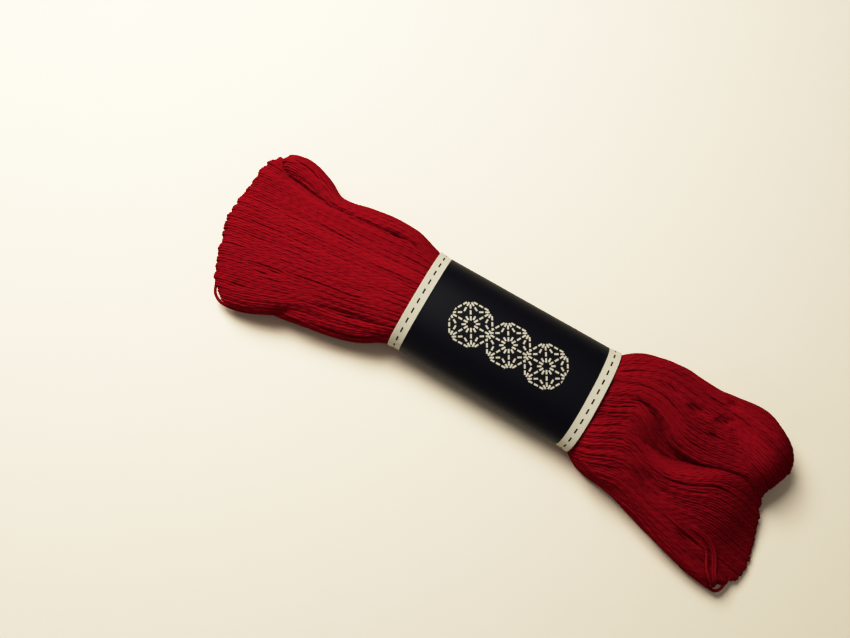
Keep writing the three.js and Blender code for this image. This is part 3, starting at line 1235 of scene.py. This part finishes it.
ROLLED_LIP = Bundle(
    name="rolled_lip",
    side=Side.LEFT,
    nose=4.0,
    stations=table(
        Station,
        (-20.5, 6.0, 11.2, 11.2, 4.0),
        (-24.4, 6.4, 12.3, 11.6, 4.0),
        (-28.0, 7.8, 13.4, 12.5, 3.2),
        (-31.0, 8.6, 14.2, 13.0, 2.5),
        (-36.0, 8.3, 14.5, 12.9, 2.0),
        (-43.0, 8.0, 13.7, 11.9, 2.0),
        (-51.0, 7.6, 12.5, 11.2, 1.2),
        (-56.0, 8.4, 14.9, 11.5, 0.4),
        (-62.0, 9.6, 16.5, 11.8),
        (-69.0, 9.9, 16.3, 10.9),
    ),
    reaches=table(Reach, (-1.0, -66.4), (-0.4, -68.5), (0.2, -69.1), (0.7, -68.0), (1.0, -65.0)),
)

NEAR_EDGE = Bundle(
    name="near_edge",
    side=Side.LEFT,
    nose=4.0,
    stations=table(
        Station,
        (-20.5, -11.6, -5.0, 10.6, 1.2),
        (-24.4, -12.3, -5.0, 11.0, 1.0),
        (-31.0, -15.6, -7.5, 10.6),
        (-37.0, -17.5, -9.6, 10.0),
        (-44.0, -18.9, -11.6, 9.2),
        (-50.0, -19.8, -13.0, 8.3),
        (-60.0, -20.2, -14.0, 6.4),
    ),
    reaches=table(Reach, (-1.0, -58.0), (1.0, -59.0)),
)

UPPER_LOBE = Bundle(
    name="upper_lobe",
    side=Side.RIGHT,
    nose=9.0,
    stations=table(
        Station,
        (20.5, -3.0, 11.7, 13.2, 0.6),
        (24.1, -3.0, 12.0, 13.4, 0.5),
        (24.9, -3.0, 13.2, 13.9, 0.3),
        (27.5, -1.4, 15.2, 14.2),
        (31.0, 0.6, 16.7, 14.2),
        (35.0, 1.8, 17.7, 13.9),
        (40.0, 1.0, 18.1, 13.3),
        (46.0, -1.4, 17.9, 12.7),
        (52.0, -1.6, 18.0, 12.2),
        (57.0, -0.4, 18.6, 11.8),
        (63.0, 1.2, 18.2, 11.0),
        (73.0, 1.8, 16.6, 8.8),
    ),
    reaches=table(
        Reach,
        (-1.0, 69.8), (-0.5, 71.2), (0.0, 72.2), (0.4, 72.4), (0.7, 70.5), (0.9, 68.2), (1.0, 65.0),
    ),
)

END_FOLD = Bundle(
    name="end_fold",
    side=Side.RIGHT,
    nose=8.0,
    stations=table(
        Station,
        (42.0, 10.6, 16.6, 10.4, 5.0),
        (50.0, 8.8, 17.6, 11.3, 4.0),
        (56.0, 5.6, 18.5, 12.5, 3.0),
        (61.0, 2.4, 18.5, 13.1, 2.5),
        (66.0, 1.0, 17.2, 12.2, 2.0),
        (73.0, 0.6, 15.4, 9.8, 1.0),
    ),
    reaches=table(
        Reach, (-1.0, 69.0), (-0.4, 71.1), (0.2, 72.4), (0.5, 72.0), (0.75, 70.3), (1.0, 65.5)
    ),
)

S_FOLD = Bundle(
    name="s_fold",
    side=Side.RIGHT,
    nose=4.0,
    squareness=3.4,
    drifts=table(Drift, (20.5, 2.6), (24.4, 1.8), (28.0, 0.8), (31.0, 0.0), (34.0, 0.0)),
    stations=table(
        Station,
        (20.5, 1.6, 9.0, 13.3, 6.0),
        (24.4, 2.0, 10.0, 13.8, 6.0),
        (31.0, 3.4, 12.0, 14.2, 6.0),
        (36.0, 3.6, 12.4, 14.2, 6.0),
        (40.0, 2.0, 12.2, 13.8, 6.0),
        (44.0, -0.4, 12.0, 13.3, 5.5),
        (50.0, -1.2, 12.2, 12.5, 5.0),
        (56.0, 0.0, 12.6, 11.7, 4.0),
        (64.0, 1.8, 12.8, 10.3, 3.0),
    ),
    reaches=table(Reach, (-1.0, 67.0), (0.0, 68.4), (1.0, 68.0)),
)

VALLEY = Bundle(
    name="valley",
    side=Side.RIGHT,
    nose=4.0,
    drifts=table(
        Drift,
        (20.5, 2.4), (24.5, 1.4), (28.0, 0.2), (31.0, -1.4), (33.2, -2.8),
        (34.5, -2.8), (36.0, -2.3), (38.5, -1.4), (41.0, -0.5), (45.0, 0.0),
    ),
    stations=table(
        Station,
        (20.5, -7.0, 7.6, 13.4, 2.0),
        (24.4, -7.0, 8.0, 13.9, 2.0),
        (30.0, -5.8, 7.6, 13.6, 1.0),
        (36.0, -6.4, 6.8, 12.5, 0.5),
        (42.0, -7.0, 5.4, 9.4, 0.5),
        (48.0, -6.4, 4.6, 6.8, 0.5),
        (56.0, -3.8, 4.8, 6.0, 0.5),
        (66.0, -2.0, 5.0, 6.4, 0.5),
    ),
    reaches=table(Reach, (-1.0, 65.0), (1.0, 65.6)),
)

LOWER_LOBE = Bundle(
    name="lower_lobe",
    side=Side.RIGHT,
    nose=11.0,
    drifts=table(
        Drift,
        (20.5, 20.0), (24.0, 16.4), (26.0, 13.2), (28.0, 9.6), (31.0, 5.2),
        (34.0, 2.3), (37.0, 0.8), (40.0, 0.0), (43.0, 0.0),
    ),
    stations=table(
        Station,
        (20.5, -11.7, 5.0, 13.2, 0.6),
        (24.1, -12.0, 5.0, 13.4, 0.5),
        (24.9, -12.8, 5.0, 13.8, 0.3),
        (27.5, -14.6, 3.4, 13.9),
        (31.0, -15.6, 2.0, 13.5),
        (36.0, -16.1, 0.2, 12.9),
        (41.0, -17.2, -2.0, 12.3),
        (46.0, -18.6, -2.6, 11.9),
        (51.0, -20.1, -0.2, 11.8),
        (57.0, -21.8, 4.4, 11.2),
        (63.0, -22.9, 6.0, 9.7),
        (69.0, -23.5, 5.6, 7.4),
        (74.0, -24.0, 5.0, 5.6),
    ),
    reaches=table(
        Reach,
        (-1.0, 67.0), (-0.93, 67.9), (-0.85, 70.3), (-0.6, 74.2), (-0.3, 74.8),
        (0.0, 74.0), (0.3, 72.8), (0.55, 71.4), (0.75, 70.4), (1.0, 69.6),
    ),
)

NEAR_FOLD = Bundle(
    name="near_fold",
    side=Side.RIGHT,
    nose=3.0,
    stations=table(
        Station,
        (20.5, -11.7, -7.6, 10.0, 1.0),
        (24.4, -12.6, -8.6, 10.6, 0.5),
        (28.0, -14.8, -11.0, 10.9),
        (31.0, -15.6, -12.2, 10.6),
        (36.0, -16.1, -13.0, 9.8),
        (41.0, -17.2, -14.2, 9.0),
        (48.0, -19.2, -16.4, 7.8),
        (54.0, -20.8, -18.2, 6.6),
    ),
    reaches=table(Reach, (-1.0, 52.0), (1.0, 52.6)),
)

CORNER_LOOPS = Bundle(
    name="corner_loops",
    side=Side.RIGHT,
    nose=4.5,
    stations=table(
        Station,
        (42.0, -17.2, -12.0, 8.2, 2.0),
        (48.0, -19.3, -13.4, 8.9, 0.5),
        (55.0, -21.4, -15.2, 8.9),
        (62.0, -23.0, -17.0, 8.4),
        (71.0, -24.3, -18.4, 6.4),
    ),
    reaches=table(Reach, (-1.0, 68.2), (-0.5, 68.1), (-0.2, 69.6), (0.4, 72.0), (1.0, 71.5)),
)

LEFT_BUNDLES = (FAN, ROLLED_LIP, NEAR_EDGE)
RIGHT_BUNDLES = (UPPER_LOBE, END_FOLD, S_FOLD, VALLEY, LOWER_LOBE, NEAR_FOLD, CORNER_LOOPS)

PARTINGS = table(
    Parting,
    (-43.6, -14.0, -25.6, -9.9, 0.8, 0.8),
    (-61.3, -13.4, -55.4, -11.0, 0.35, 0.25),
    (-60.3, -15.0, -51.0, -9.6, 0.5, 0.35),
    (-63.6, -19.6, -58.0, -17.3, 0.45, 0.3),
    (-43.5, -5.9, -38.6, -4.2, 0.35, 0.25),
    (-41.0, -7.6, -31.6, -4.9, 0.4, 0.3),
    (-34.4, -5.0, -26.4, -2.5, 0.35, 0.25),
    (-51.6, -20.4, -46.6, -17.8, 0.8, 0.8),
    (-38.4, 8.9, -32.4, 10.6, 0.5, 0.35),
    (-64.4, 13.7, -56.6, 12.8, 0.7, 0.6),
    (42.0, 8.9, 48.2, 10.1, 1.0, 0.9),
    (48.8, 9.4, 54.0, 11.3, 1.0, 0.9),
    (50.4, 14.7, 53.8, 16.0, 0.9, 0.8),
    (49.0, 6.3, 53.0, 6.4, 0.7, 0.6),
    (33.4, 10.0, 40.4, 11.1, 0.6, 0.5),
    (25.6, 0.4, 33.0, 2.9, 0.45, 0.3),
    (29.4, -6.2, 34.0, -4.9, 0.4, 0.3),
    (31.8, -7.0, 39.2, -6.6, 0.5, 0.35),
    (28.6, -13.8, 38.8, -10.3, 0.5, 0.4),
    (34.4, -16.0, 41.6, -15.4, 0.4, 0.3),
    (47.6, -11.6, 57.6, -9.2, 0.5, 0.35),
    (37.6, -9.8, 43.6, -10.8, 0.5, 0.4),
    (39.8, -8.6, 45.4, -9.6, 0.5, 0.4),
    (41.4, -11.8, 48.4, -12.0, 0.5, 0.4),
    (44.6, -9.9, 50.6, -10.6, 0.4, 0.35),
    (53.6, -16.4, 60.8, -16.8, 0.8, 0.7),
)

DENTS = table(
    Dent,
    (42.8, -10.2, 6.0, 2.8, -0.2, 1.1),
    (51.0, -12.5, 12.0, 5.5, 0.1, 0.5),
    (60.0, -14.5, 14.0, 6.0, -0.22, 2.6),
    (74.0, -11.0, 9.0, 9.0, 0.0, 3.3),
    (51.5, -2.9, 10.0, 3.0, 0.42, -1.4),
    (-60.0, 11.4, 8.0, 1.4, -0.1, 0.8),
    (34.8, 2.0, 4.0, 1.3, -0.38, -0.5),
    (63.6, 7.4, 4.6, 6.0, 0.0, -1.3),
    (-54.0, -17.5, 14.0, 5.0, 0.1, -0.6),
)

FAN_CORNER = Lock(
    strands=1,
    points=(
        (-48.0, -18.0, 4.6), (-52.0, -20.2, 4.4), (-57.0, -22.5, 4.0), (-61.0, -23.5, 3.6),
        (-63.9, -23.5, 3.5), (-65.8, -22.4, 3.5), (-66.7, -20.8, 3.6), (-67.1, -18.6, 4.2),
        (-66.0, -15.5, 6.0),
    ),
)

TIP_LOOP = Lock(
    strands=1,
    points=(
        (60.0, -22.4, 3.5), (64.0, -23.0, 3.4), (66.9, -22.9, 3.3), (68.3, -23.4, 3.2),
        (69.5, -23.4, 3.2), (70.5, -22.6, 3.3), (70.9, -21.4, 3.6), (71.2, -19.9, 4.0),
        (71.6, -18.3, 4.4),
    ),
)

SINGLE_CURL = Lock(
    strands=1,
    points=(
        (48.5, -13.9, 10.6), (52.0, -14.9, 11.4), (56.0, -15.6, 11.0), (59.5, -16.0, 10.4),
        (61.6, -16.3, 9.9), (62.6, -17.0, 9.5), (63.3, -18.2, 9.0), (64.0, -19.8, 8.5),
        (65.2, -21.4, 8.0), (66.8, -22.4, 6.8), (68.0, -22.9, 5.0), (68.6, -22.9, 3.4),
    ),
)

PAIRED_CURL = Lock(
    strands=2,
    points=(
        (54.0, -13.5, 10.2), (57.5, -13.8, 10.9), (60.5, -14.1, 10.4), (62.8, -14.9, 9.8),
        (64.6, -16.4, 9.1), (65.7, -18.4, 8.4), (66.4, -20.2, 7.9), (67.2, -21.4, 7.2),
        (68.2, -22.1, 5.8), (68.8, -22.3, 4.0),
    ),
)

LOCKS = (FAN_CORNER, TIP_LOOP, SINGLE_CURL, PAIRED_CURL)


def main() -> None:
    """Builds the skein and its studio, and reports each piece."""
    logging.basicConfig(level=logging.INFO, format="%(message)s")
    low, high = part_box("band")
    datum = Vector(((low[0] + high[0]) / 2, (low[1] + high[1]) / 2, 0.0))
    pieces = ThreadHank(datum, LEFT_BUNDLES + RIGHT_BUNDLES, PARTINGS, DENTS, LOCKS).build()
    pieces.append(PaperBand(datum).build())
    Studio(datum).build()
    for piece in pieces:
        LOG.info("%s: %d faces", piece.name, len(piece.data.polygons))


if __name__ == "__main__":
    main()
